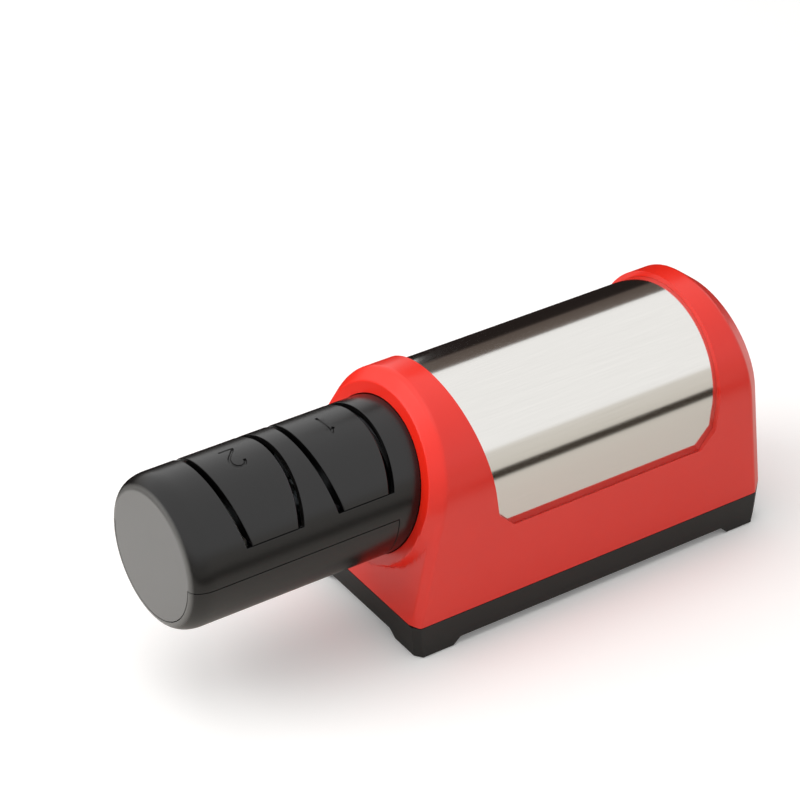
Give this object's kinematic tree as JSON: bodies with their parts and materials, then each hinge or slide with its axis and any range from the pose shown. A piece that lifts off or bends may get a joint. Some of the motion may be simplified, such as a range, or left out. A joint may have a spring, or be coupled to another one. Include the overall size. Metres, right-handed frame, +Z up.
{
  "type": "electric knife sharpener",
  "caption": "Worktop electric knife sharpener: a round black snout with slotted sharpening stages over spring-loaded conical discs, and an arched red motor housing with a steel cover.",
  "frame": {"origin": "under the middle of the sharpener, on the surface that its feet stand on", "axes": "+X from the snout's end to the rear face, +Y to the left seen from the snout looking to the rear, +Z up"},
  "size_m": [0.2444, 0.07, 0.0938],
  "materials": {
    "red_shell": "satin moulded ABS, red",
    "black_moulding": "satin moulded ABS, black",
    "black_base": "fine-textured moulded ABS, black",
    "grey_moulding": "moulded glass-filled nylon, dark grey",
    "white_moulding": "moulded nylon, natural white",
    "stainless_sheet": "polished stainless steel sheet",
    "plain_steel": "ground steel",
    "zinc_steel": "zinc-plated steel",
    "bronze": "sintered bronze",
    "brass": "bright brass",
    "felt": "pressed wool felt",
    "rubber": "moulded rubber, black",
    "spider_rubber": "moulded polyurethane, red",
    "diamond_grit": "diamond grit bonded in nickel",
    "ceramic_grit": "fine ceramic abrasive",
    "dark_parts": "moulded thermoset, black",
    "board": "glass-epoxy laminate, green",
    "sleeve": "shrink sleeve, blue"
  },
  "bodies": {
    "sharpener": {"housing": "red_shell", "steel_cover": "stainless_sheet", "cover_frame": "grey_moulding", "base_cover": "black_base", "snout_body": "black_moulding", "guide_saddle_fine": "black_moulding", "guide_saddle_coarse": "black_moulding", "end_bush": "bronze", "bearing_carrier": "grey_moulding", "felt_seal": "felt", "bearing_outer_ring": "plain_steel", "motor_front_bell": "zinc_steel", "motor_can": "zinc_steel", "motor_end_cap": "white_moulding", "motor_bracket": "zinc_steel", "motor_cradle": "grey_moulding", "motor_strap": "zinc_steel", "circuit_board": "board", "capacitor": "sleeve", "bridge_rectifier": "dark_parts", "switch_body": "dark_parts", "inlet_body": "dark_parts", "inlet_pin_right": "brass", "inlet_pin_left": "brass", "foot_pad_front_right": "rubber", "base_screw_front_right": "zinc_steel", "foot_pad_front_left": "rubber", "base_screw_front_left": "zinc_steel", "foot_pad_rear_right": "rubber", "base_screw_rear_right": "zinc_steel", "foot_pad_rear_left": "rubber", "base_screw_rear_left": "zinc_steel", "snout_screw_1": "zinc_steel", "snout_screw_2": "zinc_steel", "snout_screw_3": "zinc_steel"},
    "spindle": {"spindle_shaft": "plain_steel", "bearing_inner_ring": "plain_steel", "disc_spring_fine": "plain_steel", "disc_spring_coarse": "plain_steel", "coupling_spindle_hub": "zinc_steel", "coupling_spider": "spider_rubber", "coupling_motor_hub": "zinc_steel", "motor_shaft": "plain_steel", "armature_core": "plain_steel", "cooling_fan": "white_moulding", "drive_pin_fine_front": "plain_steel", "drive_pin_fine_rear": "plain_steel", "drive_pin_coarse_front": "plain_steel", "drive_pin_coarse_rear": "plain_steel"},
    "swarf_cover": {"swarf_cover": "black_moulding"},
    "rocker": {"switch_rocker": "black_moulding"},
    "disc_fine_front": {"disc_hub_fine_front": "zinc_steel", "abrasive_fine_front": "ceramic_grit"},
    "disc_fine_rear": {"disc_hub_fine_rear": "zinc_steel", "abrasive_fine_rear": "ceramic_grit"},
    "disc_coarse_front": {"disc_hub_coarse_front": "zinc_steel", "abrasive_coarse_front": "diamond_grit"},
    "disc_coarse_rear": {"disc_hub_coarse_rear": "zinc_steel", "abrasive_coarse_rear": "diamond_grit"}
  },
  "joints": [
    {"name": "spindle_spin", "type": "hinge", "parent": "sharpener", "child": "spindle", "pos_m": [0, 0, 0.0578], "axis": [1, 0, 0], "continuous": true},
    {"name": "disc_fine_front_slide", "type": "slide", "parent": "spindle", "child": "disc_fine_front", "axis": [1, 0, 0], "range_m": [0, 0.0012], "stiffness_N_per_m": 600, "springref_m": -0.004, "deforming": ["disc_spring_fine"]},
    {"name": "disc_fine_rear_slide", "type": "slide", "parent": "spindle", "child": "disc_fine_rear", "axis": [-1, 0, 0], "range_m": [0, 0.0012], "stiffness_N_per_m": 600, "springref_m": -0.004, "deforming": ["disc_spring_fine"]},
    {"name": "disc_coarse_front_slide", "type": "slide", "parent": "spindle", "child": "disc_coarse_front", "axis": [1, 0, 0], "range_m": [0, 0.0012], "stiffness_N_per_m": 600, "springref_m": -0.004, "deforming": ["disc_spring_coarse"]},
    {"name": "disc_coarse_rear_slide", "type": "slide", "parent": "spindle", "child": "disc_coarse_rear", "axis": [-1, 0, 0], "range_m": [0, 0.0012], "stiffness_N_per_m": 600, "springref_m": -0.004, "deforming": ["disc_spring_coarse"]},
    {"name": "swarf_cover_slide", "type": "slide", "parent": "sharpener", "child": "swarf_cover", "axis": [0, 0, -1], "range_m": [0, 0.025]},
    {"name": "rocker_tilt", "type": "hinge", "parent": "sharpener", "child": "rocker", "pos_m": [0.1133, 0, 0.066], "axis": [0, 1, 0], "range_deg": [-16, 0]}
  ]
}
